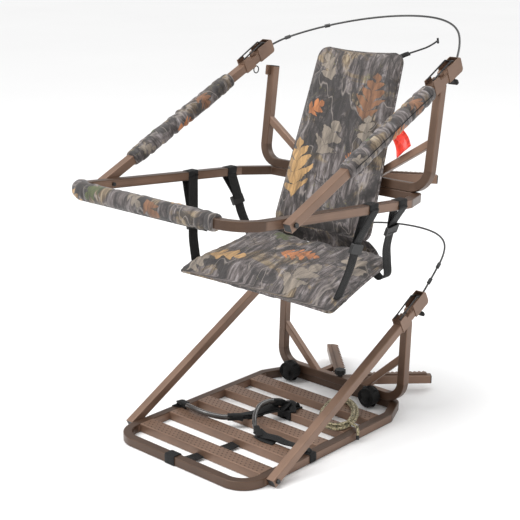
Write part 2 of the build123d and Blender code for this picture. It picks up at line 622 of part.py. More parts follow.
def build_cushions():
    """Seat cushion and backrest as plain pads."""
    seat = cushion_panel(
        CUSHION_FRONT, CUSHION_REAR, CUSHION_FRONT_HALF, CUSHION_REAR_HALF, CUSHION_THICK, 14
    )
    parts["seat_cushion"] = seat
    for name in ("seat_straps_left", "seat_straps_right"):
        parts[name] = clear_of(parts[name], ["seat_cushion"])
    parts["backrest_cushion"] = cushion_panel(BACK_FOOT, BACK_TOP, BACK_FOOT_HALF, BACK_TOP_HALF, BACK_THICK, 30)
    parts["backrest_lanyard"] = cord_tube("backrest_lanyard", LANYARD_ROUTE, LANYARD)
    parts["backrest_lanyard"] = clear_of(parts["backrest_lanyard"], ["backrest_cushion"])
    end = Vector(*LANYARD_ROUTE[-1])
    run = end - Vector(*LANYARD_ROUTE[-2])
    hook = Plane(origin=end, z_dir=run) * (extrude(Circle(3), 6) + Pos(0, 0, 8) * Box(16, 4, 5))
    parts["lanyard_hook"] = hook


def build_arms(prefix, place, x, reach, tail):
    """Both folding arms of a section, with their brackets, bails, knob and pull ring."""
    right = folding_arm(x, reach, tail, [KNOB_S])[1]
    filled, left = folding_arm(x, reach, tail, [RING_S])
    parts[f"{prefix}_arm_right"] = place * right
    parts[f"{prefix}_arm_left"] = place * mirror(left, about=Plane.YZ)
    parts[f"{prefix}_arm_plugs"] = arm_plugs(x, tail, place)
    parts[f"{prefix}_collars"] = place * both_sides(cable_collar(x, reach))
    block = cable_block(x, reach)
    knob_hole = Pos(x, reach + KNOB_S, -HALF) * Cylinder((PIN + RUNNING_FIT) / 2, TUBE / 2)
    blocks = (block - knob_hole) + mirror(block, about=Plane.YZ)
    parts[f"{prefix}_cable_blocks"] = place * (blocks + both_sides(latch_lug(x, reach)))
    parts[f"{prefix}_bail_right"] = place * wire_bail(x, reach)
    parts[f"{prefix}_bail_left"] = place * mirror(wire_bail(x, reach), about=Plane.YZ)
    parts[f"{prefix}_lock_knob"] = place * lock_knob(x, reach)
    parts[f"{prefix}_pull_ring"] = place * mirror(pull_ring(x, reach), about=Plane.YZ)
    return filled


def build_armrests(filled):
    """Padded sleeves on the seat section's folding arms."""
    for side, first, last in ((-1, 0.155, 0.74), (1, 0.30, 0.82)):
        start = first * SEAT_ARM_REACH
        length = last * SEAT_ARM_REACH - start
        sleeve = Pos(SEAT_ARM_X, start + length, 0) * Rot(90, 0, 0) * extrude(Circle(PAD_RADIUS - 0.5), length)
        sleeve = sleeve - filled
        if side < 0:
            sleeve = mirror(sleeve, about=Plane.YZ)
        parts["armrest_pad_left" if side < 0 else "armrest_pad_right"] = SEAT_ARM_PLACE * sleeve


def build_cables():
    """The two trunk cables with their crimped stops."""
    parts["seat_cable"] = cord_tube("seat_cable", UPPER_CABLE, CABLE)
    parts["seat_cable"] = clear_of(parts["seat_cable"], ["seat_cable_blocks"])
    parts["seat_cable_stops"] = cable_stops(UPPER_CABLE, [1, 3])
    parts["platform_cable"] = cord_tube("platform_cable", LOWER_CABLE, CABLE)
    parts["platform_cable"] = clear_of(parts["platform_cable"], ["platform_cable_blocks"])
    parts["platform_cable_stops"] = cable_stops(LOWER_CABLE, [11, 12])


build_platform()
build_foot_straps()
build_seat_section()
build_cushions()
build_arms("platform", PLATFORM_ARM_PLACE, PLATFORM_ARM_X, PLATFORM_ARM_REACH, PLATFORM_ARM_TAIL)
build_armrests(build_arms("seat", SEAT_ARM_PLACE, SEAT_ARM_X, SEAT_ARM_REACH, SEAT_ARM_TAIL))
build_cables()

os.makedirs("parts", exist_ok=True)
for name, part in parts.items():
    export_step(part, f"parts/{name}.step")
print(len(parts), "parts")
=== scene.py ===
import bpy
import json
import math
import numpy as np
from mathutils import Matrix, Vector, noise


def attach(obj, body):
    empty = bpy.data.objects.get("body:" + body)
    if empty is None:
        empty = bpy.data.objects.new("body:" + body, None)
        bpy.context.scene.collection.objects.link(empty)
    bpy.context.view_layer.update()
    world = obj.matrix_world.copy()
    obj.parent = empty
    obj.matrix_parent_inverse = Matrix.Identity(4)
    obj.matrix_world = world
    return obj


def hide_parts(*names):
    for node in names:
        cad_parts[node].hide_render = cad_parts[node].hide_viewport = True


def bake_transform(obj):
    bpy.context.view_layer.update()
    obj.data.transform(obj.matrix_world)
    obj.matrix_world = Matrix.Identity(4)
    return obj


# Climbing tree stand.  Metres.  X is across the stand, +Y points to the tree, +Z is up.

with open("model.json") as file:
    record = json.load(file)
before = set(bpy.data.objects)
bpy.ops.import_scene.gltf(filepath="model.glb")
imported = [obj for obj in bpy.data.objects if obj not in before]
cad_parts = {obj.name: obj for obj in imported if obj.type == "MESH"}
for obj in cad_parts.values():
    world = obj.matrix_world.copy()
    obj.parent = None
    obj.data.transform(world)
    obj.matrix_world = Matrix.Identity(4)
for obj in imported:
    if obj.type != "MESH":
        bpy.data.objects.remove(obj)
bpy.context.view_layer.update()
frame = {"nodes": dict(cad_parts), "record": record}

MM = 0.001
TAU = 2 * math.pi
WHITE = (1, 1, 1, 1)

# ---- places of the seat section and its folding arms ----
SEAT_PLACE = Matrix.Translation((0, 0.3486, 0.6624)) @ Matrix.Rotation(math.radians(-4.9), 4, "X")
SEAT_ARM_PLACE = (
    SEAT_PLACE @ Matrix.Translation((0, -0.6155, 0)) @ Matrix.Rotation(math.radians(29.7), 4, "X")
)
SEAT_ARM_X = 0.3407
RAIL_X = 0.3133
HALF_TUBE = 0.0127
TUBE = 0.0254
SLAT_WIDTH = 0.050
SLAT_PITCH = 0.115
SLAT_COUNT = 5
SIDE_TUBE_X = 0.2443
FRONT_TUBE_Y = -0.3273
FRONT_BAR_Y = -0.758
FRONT_BEND = 0.0753
STRAP_WIDTH = 0.036

# ---- cords: the same routes as the CAD, in millimetres ----
CABLE = 6 * MM
LANYARD = 5 * MM
ROPE = 8 * MM
UPPER_CABLE = [
    (-335, 412, 1033), (-329, 446, 1046), (-304, 492, 1062), (-264, 540, 1079), (-208, 586, 1096),
    (-138, 628, 1111), (-55, 656, 1122), (32, 662, 1127), (112, 646, 1126), (182, 611, 1118),
    (240, 562, 1105), (285, 506, 1086), (318, 452, 1058), (335, 412, 1033),
]
LOWER_CABLE = [
    (-266, 396, 363), (-265, 430, 380), (-258, 482, 407), (-236, 538, 431), (-196, 588, 450),
    (-138, 630, 464), (-65, 656, 473), (15, 665, 478), (95, 657, 480), (165, 628, 479),
    (220, 580, 470), (252, 520, 448), (264, 458, 413), (266, 416, 380), (266, 396, 363),
]
LANYARD_ROUTE = [(140, 456, 1038), (142, 480, 1041), (141, 520, 1045), (143, 565, 1051), (140, 606, 1062)]
ROPE_TAIL = [(210, 141, 34), (230, 133, 35), (247, 126, 38), (261, 120, 34), (265, 113, 18)]
HANK_CENTRE = (150, 172)
HANK_LONG = 100
HANK_SHORT = 46
HANK_TURN = math.radians(122)
HANK_POINTS = 14


# ---------------------------------------------------------------- meshes

def new_object(name, verts, faces, uvs=None):
    """A mesh object with smooth faces, and one UV pair per face corner."""
    mesh = bpy.data.meshes.new(name)
    mesh.from_pydata([tuple(v) for v in verts], [], faces)
    if uvs is not None:
        layer = mesh.uv_layers.new(name="UVMap")
        layer.data.foreach_set("uv", np.array(uvs, np.float32).ravel())
    mesh.shade_smooth()
    obj = bpy.data.objects.new(name, mesh)
    bpy.context.scene.collection.objects.link(obj)
    return obj


def loft(name, rings, uvs, close=True, caps=True):
    """A surface through rings of equal size; uvs has one more column than a closed ring has points."""
    count, size = len(rings), len(rings[0])
    verts = [p for ring in rings for p in ring]
    faces, corners = [], []
    columns = size if close else size - 1
    for i in range(count - 1):
        for j in range(columns):
            k = (j + 1) % size
            faces.append((i * size + j, i * size + k, (i + 1) * size + k, (i + 1) * size + j))
            corners += [uvs[i][j], uvs[i][j + 1], uvs[i + 1][j + 1], uvs[i + 1][j]]
    if caps and close:
        faces.append(tuple(range(size))[::-1])
        corners += [uvs[0][j] for j in range(size)][::-1]
        last = (count - 1) * size
        faces.append(tuple(last + j for j in range(size)))
        corners += [uvs[-1][j] for j in range(size)]
    return new_object(name, verts, faces, corners)


def smooth_path(points, per_run=8):
    """Points of a smooth line through the given ones."""
    knots = [Vector(p) for p in points]
    knots = [2 * knots[0] - knots[1]] + knots + [2 * knots[-1] - knots[-2]]
    line = []
    for a, b, c, d in zip(knots, knots[1:], knots[2:], knots[3:]):
        for i in range(per_run):
            t = i / per_run
            line.append(
                0.5 * (2 * b + (c - a) * t + (2 * a - 5 * b + 4 * c - d) * t * t
                       + (3 * b - 3 * c + d - a) * t * t * t)
            )
    return line + [knots[-2]]


def resample(points, step):
    """Points a step apart along a line."""
    line = np.array([tuple(p) for p in points])
    run = np.concatenate([[0], np.cumsum(np.linalg.norm(np.diff(line, axis=0), axis=1))])
    stations = np.linspace(0, run[-1], max(2, int(run[-1] / step)))
    return [Vector([np.interp(s, run, line[:, k]) for k in range(3)]) for s in stations], stations


def tangents(points):
    """Unit directions along a line."""
    ends = [points[0]] + list(points) + [points[-1]]
    return [(b - a).normalized() for a, b in zip(ends, ends[2:])]


def carried_sides(points, start):
    """Side directions that don't twist along a line."""
    side = Vector(start)
    sides = []
    for tangent in tangents(points):
        side = (side - tangent * side.dot(tangent)).normalized()
        sides.append(side.copy())
    return sides


def tube(name, points, radius, count=12, step=0.002, start_side=(0, 0, 1)):
    """A round tube along a line; radius is a number or a function of angle and distance."""
    line, stations = resample(points, step)
    sides = carried_sides(line, start_side)
    rings, uvs = [], []
    for point, along, side, s in zip(line, tangents(line), sides, stations):
        other = along.cross(side)
        ring, row = [], []
        for j in range(count + 1):
            angle = TAU * j / count
            r = radius(angle, s) if callable(radius) else radius
            if j < count:
                ring.append(point + side * (r * math.cos(angle)) + other * (r * math.sin(angle)))
            row.append((s, angle * 0.5 * CABLE))
        rings.append(ring)
        uvs.append(row)
    return loft(name, rings, uvs)


def ribbon(name, path, across, width, thickness=2.4 * MM, step=0.004, end_across=None):
    """Flat webbing along a smooth line, with rounded selvedges."""
    line, stations = resample(smooth_path(path), step)
    first, last = Vector(across), Vector(end_across or across)
    section = [(-0.5, -0.3), (-0.48, -0.5), (-0.2, -0.5), (0.2, -0.5), (0.48, -0.5), (0.5, -0.3),
               (0.5, 0.3), (0.48, 0.5), (0.2, 0.5), (-0.2, 0.5), (-0.48, 0.5), (-0.5, 0.3)]
    rings, uvs = [], []
    for i, (point, along) in enumerate(zip(line, tangents(line))):
        share = i / (len(line) - 1)
        wide = first.lerp(last, share)
        wide = (wide - along * wide.dot(along)).normalized()
        normal = along.cross(wide)
        rings.append([point + wide * (u * width) + normal * (v * thickness) for u, v in section])
        row = [(stations[i], u * width) for u, v in section]
        uvs.append(row + [row[0]])
    return loft(name, rings, uvs)


def fold_noise(point, scale, seed):
    """Smooth seeded noise from -1 to 1."""
    return noise.noise(Vector(point) * scale + Vector((seed, 2.3 * seed, 0.7 * seed)))


def sleeve(name, path, radius, up, pinches, seed, cuff=0.026):
    """A padded fabric sleeve along a tube: creased, cinched at the pinches, with sewn cuffs."""
    line, stations = resample(path, 0.003)
    sides = carried_sides(line, up)
    total = stations[-1]
    rings, uvs = [], []
    count = 40
    crease_width, roll_offset, roll_width = 0.006, 0.013, 0.008
    for point, along, side, s in zip(line, tangents(line), sides, stations):
        other = along.cross(side)
        end = min(s, total - s)
        grow = 0.94 + 0.06 * min(1, end / 0.05)
        if end < cuff:
            grow = 0.93 - 0.10 * math.exp(-end / 0.0025) - 0.05 * math.exp(-((end - cuff) / 0.003) ** 2)
        ring, row = [], []
        for j in range(count + 1):
            angle = TAU * j / count
            r = radius * grow
            for at, depth, lean in pinches:
                offset = s - at * total - lean * math.sin(angle + at * 40)
                around = 0.6 + 0.4 * math.sin(3 * angle + at * 50)
                r -= depth * math.exp(-((offset / crease_width) ** 2)) * around
                r += 0.45 * depth * math.exp(-(((offset - roll_offset) / roll_width) ** 2))
            place = Vector((math.cos(angle), math.sin(angle), s / 0.03))
            r += 0.0011 * fold_noise(place, 1.3, seed)
            square = 1 - 0.035 * math.cos(4 * angle)
            if j < count:
                direction = side * math.cos(angle) + other * math.sin(angle)
                ring.append(point + direction * (r * square))
            row.append((s + seed, angle * radius))
        rings.append(ring)
        uvs.append(row)
    return loft(name, rings, uvs), line, sides


def seam_line(name, line, sides, radius, angle, thickness=1.3 * MM):
    """Dark piping along a sleeve."""
    run = tangents(line)
    points = []
    for point, side, along in zip(line, sides, run):
        direction = side * math.cos(angle) + along.cross(side) * math.sin(angle)
        points.append(point + direction * radius)
    return tube(name, points[6:-6], thickness, count=8, step=0.004)


def pad_profile(x, power=6.0):
    """Crown of a stuffed pad from its middle (0) to its seam (1)."""
    return max(0.0, 1 - abs(x) ** power) ** 0.5


def cushion(name, front, rear, half_front, half_rear, thick, corner, seed, pull=0.012, drop=0.0):
    """A crowned, stuffed panel sewn round its edge, its seam dropped below the middle.

    Returns the piece, its seam line and its columns."""
    origin = Vector((0, front[0], front[1])) * MM
    run = Vector((0, rear[0] - front[0], rear[1] - front[1])) * MM
    length = run.length
    along = run.normalized()
    normal = Vector((1, 0, 0)).cross(along)
    columns, rows = 56, 60
    edge = 3.0 * MM
    pucker_depth, pucker_reach, pucker_pitch = 1.6 * MM, 0.022, 0.031
    swell_depth = 2.2 * MM
    underside_shift = 0.7
    rings, uvs, seam = [], [], {"left": [], "right": []}
    for i in range(rows + 1):
        v = 0.5 - 0.5 * math.cos(math.pi * i / rows)
        v = 0.5 * (v + i / rows)
        distance = v * length
        near = min(distance, length - distance)
        half = (half_front + (half_rear - half_front) * v) * MM
        half *= 1 - pull * math.sin(math.pi * v) ** 2
        if near < corner:
            half -= corner - math.sqrt(max(0.0, corner ** 2 - (corner - near) ** 2))
        top, low, row_top, row_low = [], [], [], []
        for j in range(columns + 1):
            u = math.sin((j / columns - 0.5) * math.pi)
            u = 0.5 * (u + (2 * j / columns - 1))
            bow = 0.006 * (1 - u * u) * math.cos(math.pi * v)
            flat = origin + Vector((u * half, 0, 0)) + along * (distance + bow) - normal * drop
            crown = pad_profile(u) * pad_profile(2 * v - 1)
            to_seam = min((1 - abs(u)) * half, near)
            around = u * half + distance
            pucker = pucker_depth * math.exp(-to_seam / pucker_reach)
            pucker *= math.sin(around * TAU / pucker_pitch + 2.5 * u)
            swell = swell_depth * fold_noise((u * half, distance, 0), 14, seed) * crown
            rise = edge + (0.5 * thick * MM + drop - edge) * crown + (swell + pucker) * min(1, crown * 1.5)
            sink = edge + (0.5 * thick * MM - drop - edge) * crown * 0.86
            top.append(flat + normal * rise)
            low.append(flat - normal * sink)
            row_top.append((u * half + seed, distance))
            row_low.append((u * half + seed + underside_shift, distance))
        rings.append(top + low[::-1])
        uvs.append(row_top + row_low[::-1] + [row_top[0]])
        seam["left"].append(top[0] * 0.5 + low[0] * 0.5)
        seam["right"].append(top[-1] * 0.5 + low[-1] * 0.5)
        if i == 0:
            first = [(a + b) * 0.5 for a, b in zip(top, low)]
        last = [(a + b) * 0.5 for a, b in zip(top, low)]
    piece = loft(name, rings, uvs)
    outline = first + seam["right"][1:-1] + last[::-1] + seam["left"][1:-1][::-1] + [first[0]]
    return piece, outline, columns


def stuff(piece, columns, cap, frames=16):
    """Cloth with air pressure, its seam held, then applied; no point moves more than the cap."""
    mesh = piece.data
    size = 2 * (columns + 1)
    rows = len(mesh.vertices) // size
    pin = piece.vertex_groups.new(name="seam")
    held = []
    for i in range(rows):
        for j in range(size):
            at_side = j in (0, columns, columns + 1, size - 1)
            if at_side or i in (0, rows - 1):
                held.append(i * size + j)
    pin.add(held, 1.0, "REPLACE")
    rest = np.array([v.co for v in mesh.vertices])
    cloth = piece.modifiers.new("Cloth", "CLOTH")
    settings = cloth.settings
    settings.quality = 5
    settings.mass = 0.15
    settings.tension_stiffness = 25
    settings.compression_stiffness = 25
    settings.shear_stiffness = 8
    settings.bending_stiffness = 0.4
    settings.use_pressure = True
    settings.uniform_pressure_force = 4
    settings.shrink_min = -0.035
    settings.vertex_group_mass = "seam"
    settings.effector_weights.gravity = 0
    cloth.point_cache.frame_start = 1
    cloth.point_cache.frame_end = frames
    scene = bpy.context.scene
    for number in range(1, frames + 1):
        scene.frame_set(number)
    graph = bpy.context.evaluated_depsgraph_get()
    moved = np.array([v.co for v in piece.evaluated_get(graph).data.vertices])
    piece.modifiers.remove(cloth)
    scene.frame_set(1)
    step = moved - rest
    far = np.linalg.norm(step, axis=1, keepdims=True)
    step *= np.minimum(1, cap / np.maximum(far, 1e-9))
    mesh.vertices.foreach_set("co", (rest + step).astype(np.float32).ravel())
    mesh.update()


def subdivide(piece):
    """One level of subdivision surface on a finished soft piece."""
    modifier = piece.modifiers.new("Subdivision", "SUBSURF")
    modifier.levels = 1
    modifier.render_levels = 1


# ---------------------------------------------------------------- materials

class Shader:
    """Short calls that build one material's node tree."""

    def __init__(self, name):
        self.material = bpy.data.materials.new(name)
        self.material.use_nodes = True
        self.tree = self.material.node_tree
        self.tree.nodes.clear()
        coordinates = self.tree.nodes.new("ShaderNodeTexCoord")
        self.uv = coordinates.outputs["UV"]
        self.object = coordinates.outputs["Object"]

    def add(self, kind, inputs, **settings):
        """A node with its inputs set, or linked where a socket is given."""
        node = self.tree.nodes.new(kind)
        for key, value in settings.items():
            setattr(node, key, value)
        for key, value in inputs.items():
            if isinstance(value, bpy.types.NodeSocket):
                self.tree.links.new(value, node.inputs[key])
            else:
                node.inputs[key].default_value = value
        return node

    def math(self, operation, a, b=0.0, clamp=False):
        return self.add("ShaderNodeMath", {0: a, 1: b}, operation=operation, use_clamp=clamp).outputs[0]

    def mix(self, share, a, b):
        a = a if isinstance(a, bpy.types.NodeSocket) else (*a, 1)
        b = b if isinstance(b, bpy.types.NodeSocket) else (*b, 1)
        return self.add("ShaderNodeMix", {0: share, 6: a, 7: b}, data_type="RGBA").outputs[2]

    def place(self, vector, scale=(1, 1, 1), turn=0.0, shift=(0, 0, 0)):
        node = self.add("ShaderNodeMapping", {"Vector": vector, "Scale": scale, "Location": shift})
        node.inputs["Rotation"].default_value = (0, 0, turn)
        return node.outputs[0]

    def noise(self, vector, scale, detail=3.0, rough=0.5, warp=0.0):
        inputs = {"Vector": vector, "Scale": scale, "Detail": detail, "Roughness": rough}
        return self.add("ShaderNodeTexNoise", {**inputs, "Distortion": warp}).outputs["Fac"]

    def wave(self, vector, scale, direction="X", warp=0.0):
        inputs = {"Vector": vector, "Scale": scale, "Distortion": warp}
        node = self.add("ShaderNodeTexWave", inputs, wave_type="BANDS", bands_direction=direction)
        return node.outputs["Fac"]

    def ramp(self, value, stops):
        node = self.add("ShaderNodeValToRGB", {"Fac": value})
        band = node.color_ramp
        while len(band.elements) < len(stops):
            band.elements.new(0.5)
        for element, (at, colour) in zip(band.elements, stops):
            element.position = at
            element.color = (*colour, 1)
        return node.outputs["Color"]

    def finish(self, colour, roughness, height=None, strength=0.3, distance=0.001, **uniform):
        inputs = {"Base Color": colour, "Roughness": roughness, **uniform}
        if height is not None:
            relief = {"Height": height, "Strength": strength, "Distance": distance}
            inputs["Normal"] = self.add("ShaderNodeBump", relief).outputs["Normal"]
        surface = self.add("ShaderNodeBsdfPrincipled", inputs)
        self.add("ShaderNodeOutputMaterial", {"Surface": surface.outputs[0]})
        return self.material


def grey(value):
    return (value, value, value)


def paint_material():
    """Brown satin powder coat: fine grain, soft mottling, and a painted highlight that lightens the edges.
    """
    s = Shader("brown_powder_coat")
    mottle = s.noise(s.object, 9.0, 3.0)
    grain = s.noise(s.object, 900.0, 2.0)
    colour = s.ramp(mottle, [(0.3, (0.058, 0.031, 0.018)), (0.7, (0.088, 0.047, 0.027))])
    fleck = s.ramp(grain, [(0.45, grey(0.0)), (0.75, grey(1.0))])
    colour = s.mix(s.math("MULTIPLY", fleck, 0.2), colour, (0.20, 0.115, 0.075))
    # Painted highlight: edges found by pointiness are lightened in the colour, broken up by the mottling.
    edge = s.add("ShaderNodeNewGeometry", {}).outputs["Pointiness"]
    edge_highlight_mask = s.ramp(edge, [(0.51, grey(0.0)), (0.60, grey(1.0))])
    painted_edge_highlight = s.math("MULTIPLY", edge_highlight_mask, s.math("MULTIPLY_ADD", mottle, 0.8))
    colour = s.mix(s.math("MULTIPLY", painted_edge_highlight, 0.6), colour, (0.34, 0.21, 0.145))
    rough = s.add("ShaderNodeMapRange", {"Value": mottle, "To Min": 0.34, "To Max": 0.46}).outputs[0]
    coat = {"Metallic": 0.35, "Coat Weight": 0.15, "Coat Roughness": 0.3}
    return s.finish(colour, rough, grain, 0.12, 0.0004, **coat)


def plastic_material():
    """Black moulded plastic with a fine matte texture."""
    s = Shader("black_moulded_plastic")
    grain = s.noise(s.object, 1400.0, 2.0)
    dust = s.noise(s.object, 40.0, 4.0)
    colour = s.ramp(dust, [(0.35, grey(0.006)), (0.8, grey(0.018))])
    rough = s.add("ShaderNodeMapRange", {"Value": dust, "To Min": 0.38, "To Max": 0.6}).outputs[0]
    return s.finish(colour, rough, grain, 0.25, 0.0003)


def steel_material():
    """Blackened steel wire and bolts with brushed streaks and bright rubs."""
    s = Shader("blackened_steel")
    streak = s.noise(s.place(s.object, (500, 60, 500)), 1.0, 3.0)
    patch = s.noise(s.object, 55.0, 4.0)
    colour = s.ramp(streak, [(0.3, grey(0.035)), (0.6, grey(0.07)), (0.85, grey(0.22))])
    rough = s.add("ShaderNodeMapRange", {"Value": patch, "To Min": 0.26, "To Max": 0.5}).outputs[0]
    return s.finish(colour, rough, streak, 0.1, 0.0002, Metallic=0.85)


def cable_material():
    """Wire rope in a thin smoky coating."""
    s = Shader("wire_rope")
    strand = s.noise(s.place(s.uv, (260, 900, 1)), 1.0, 2.0)
    grime = s.noise(s.object, 70.0, 3.0)
    colour = s.ramp(strand, [(0.3, grey(0.035)), (0.6, grey(0.10)), (0.9, (0.26, 0.25, 0.24))])
    colour = s.mix(s.math("MULTIPLY", grime, 0.35), colour, grey(0.03))
    return s.finish(colour, 0.36, strand, 0.2, 0.0003, Metallic=0.7)


def webbing_material():
    """Black nylon webbing: ribbed lengthwise and woven across, faded in patches, with painted shade between
    the threads and a painted highlight on their crowns.
    """
    s = Shader("black_webbing")
    tone = 0.0065
    rib = s.wave(s.uv, 175.0, "Y")
    weft = s.wave(s.uv, 230.0, "X", 0.6)
    weave = s.math("MULTIPLY", rib, weft)
    fade = s.noise(s.uv, 60.0, 4.0)
    # Painted shade and highlight: the colour follows the weave, dark between the threads and light on their
    # crowns.
    colour = s.ramp(weave, [(0.1, grey(0.35 * tone)), (0.7, grey(1.6 * tone)), (1.0, grey(3.4 * tone))])
    colour = s.mix(s.math("MULTIPLY", fade, 0.4), colour, grey(2.6 * tone))
    sheen = {"Sheen Weight": 0.03, "Sheen Roughness": 0.4, "Specular IOR Level": 0.3}
    return s.finish(colour, 0.62, weave, 0.5, 0.0007, **sheen)


def vinyl_material():
    """Glossy dark vinyl tube with faint scuffs."""
    s = Shader("glossy_vinyl")
    scuff = s.noise(s.object, 60.0, 4.0)
    cloud = s.noise(s.object, 30.0, 3.0)
    colour = s.ramp(cloud, [(0.3, (0.030, 0.028, 0.027)), (0.75, (0.075, 0.068, 0.064))])
    rough = s.add("ShaderNodeMapRange", {"Value": scuff, "To Min": 0.12, "To Max": 0.30}).outputs[0]
    return s.finish(colour, rough, scuff, 0.04, 0.0005, **{"Coat Weight": 0.6, "Coat Roughness": 0.1})


def rope_material():
    """Braided cord in tan, olive and black flecks, with painted shade in the braid's grooves."""
    s = Shader("camouflage_braid")
    braid = s.wave(s.place(s.uv, turn=0.9), 230.0, "X")
    cross = s.wave(s.place(s.uv, turn=-0.9), 230.0, "X")
    plait = s.math("MAXIMUM", braid, cross)
    fleck = s.noise(s.place(s.uv, (150, 330, 1)), 1.0, 2.0)
    colour = s.ramp(fleck, [(0.36, (0.012, 0.011, 0.008)), (0.43, (0.10, 0.095, 0.035)),
                            (0.52, (0.50, 0.42, 0.24)), (0.75, (0.72, 0.64, 0.44))])
    # Painted shade: the colour darkens in the grooves between the braid's strands.
    colour = s.mix(s.math("SUBTRACT", 0.5, s.math("MULTIPLY", plait, 0.5)), colour, (0.02, 0.018, 0.01))
    return s.finish(colour, 0.7, plait, 0.6, 0.0008, **{"Sheen Weight": 0.2})


def tag_material():
    """Red coated nylon with a fine rip-stop grid and glossy creases."""
    s = Shader("red_nylon")
    grid = s.math("MAXIMUM", s.wave(s.uv, 120.0, "X"), s.wave(s.uv, 120.0, "Y"))
    crease = s.noise(s.place(s.uv, (20, 90, 1)), 1.0, 4.0, warp=0.5)
    colour = s.ramp(crease, [(0.3, (0.52, 0.010, 0.004)), (0.55, (0.80, 0.030, 0.010)),
                             (0.78, (0.95, 0.16, 0.08))])
    rough = s.add("ShaderNodeMapRange", {"Value": crease, "To Min": 0.22, "To Max": 0.42}).outputs[0]
    return s.finish(colour, rough, s.math("ADD", grid, crease), 0.25, 0.0006, **{"Coat Weight": 0.4})


def hole_shade_material():
    """Painted shade: the dark inside of each punched hole in the slats, on discs that stand in for it."""
    s = Shader("painted_hole_shade")
    depth = s.noise(s.object, 600.0, 2.0)
    # Painted shade: near-black tones for the shade inside each hole.
    colour = s.ramp(depth, [(0.3, (0.012, 0.007, 0.005)), (0.8, (0.035, 0.018, 0.012))])
    return s.finish(colour, 0.8, depth, 0.1, 0.0003)


TAN = (0.52, 0.31, 0.125)
ORANGE = (0.50, 0.185, 0.065)
RUST = (0.25, 0.115, 0.055)
OLIVE = (0.085, 0.10, 0.038)
PALE = (0.27, 0.225, 0.18)


def print_leaf(s, colour, warped, ragged, streak, leaf):
    """One printed leaf over a colour: shadow, lobed body, midrib and veins."""
    u, v, angle, length, width, lobes, tint = leaf
    dark = tuple(0.42 * c for c in tint)
    light = tuple(min(1, 1.22 * c) for c in tint)
    centred = s.place(warped, shift=(-u, -v, 0))
    turned = s.add("ShaderNodeVectorRotate", {"Vector": centred, "Angle": math.radians(-angle)},
                   rotation_type="Z_AXIS").outputs[0]
    axes = s.add("ShaderNodeSeparateXYZ", {"Vector": turned})
    across = s.math("ABSOLUTE", s.math("DIVIDE", axes.outputs[1], width))
    along = s.math("DIVIDE", axes.outputs[0], length)
    leaning = s.math("SUBTRACT", along, s.math("MULTIPLY", across, 0.42))
    lobe = s.math("ABSOLUTE", s.math("COSINE", s.math("MULTIPLY", leaning, lobes * 1.57)))
    body = s.math("SUBTRACT", 1.0, s.math("MULTIPLY", along, along), clamp=True)
    lobed = s.math("MULTIPLY", body, s.math("MULTIPLY", lobe, 0.84))
    fray = s.math("MULTIPLY", s.math("SUBTRACT", ragged, 0.5), 0.7)
    reach = s.math("ADD", s.math("MULTIPLY", body, 0.16), lobed)
    reach = s.math("ADD", reach, s.math("MULTIPLY", body, fray))
    inside = s.math("SUBTRACT", reach, across)
    halo = s.math("MULTIPLY_ADD", inside, 2.6, clamp=True)
    halo.node.inputs[2].default_value = 0.55
    colour = s.mix(s.math("MULTIPLY", halo, 0.75), colour, (0.02, 0.016, 0.014))
    mask = s.math("MULTIPLY", inside, 26.0, clamp=True)
    rib = s.math("SUBTRACT", 1.0, s.math("MULTIPLY", across, 26.0), clamp=True)
    branch = s.math("FRACT", s.math("MULTIPLY", leaning, lobes * 0.5))
    from_vein = s.math("ABSOLUTE", s.math("SUBTRACT", branch, 0.5))
    vein = s.math("SUBTRACT", 1.0, s.math("MULTIPLY", from_vein, 22.0), clamp=True)
    tone = s.mix(s.ramp(streak, [(0.36, grey(0.0)), (0.62, grey(1.0))]), dark, light)
    veins = s.math("MULTIPLY", s.math("MAXIMUM", rib, vein), 0.55)
    tone = s.mix(veins, tone, tuple(0.35 * c for c in tint))
    return s.mix(mask, colour, tone)


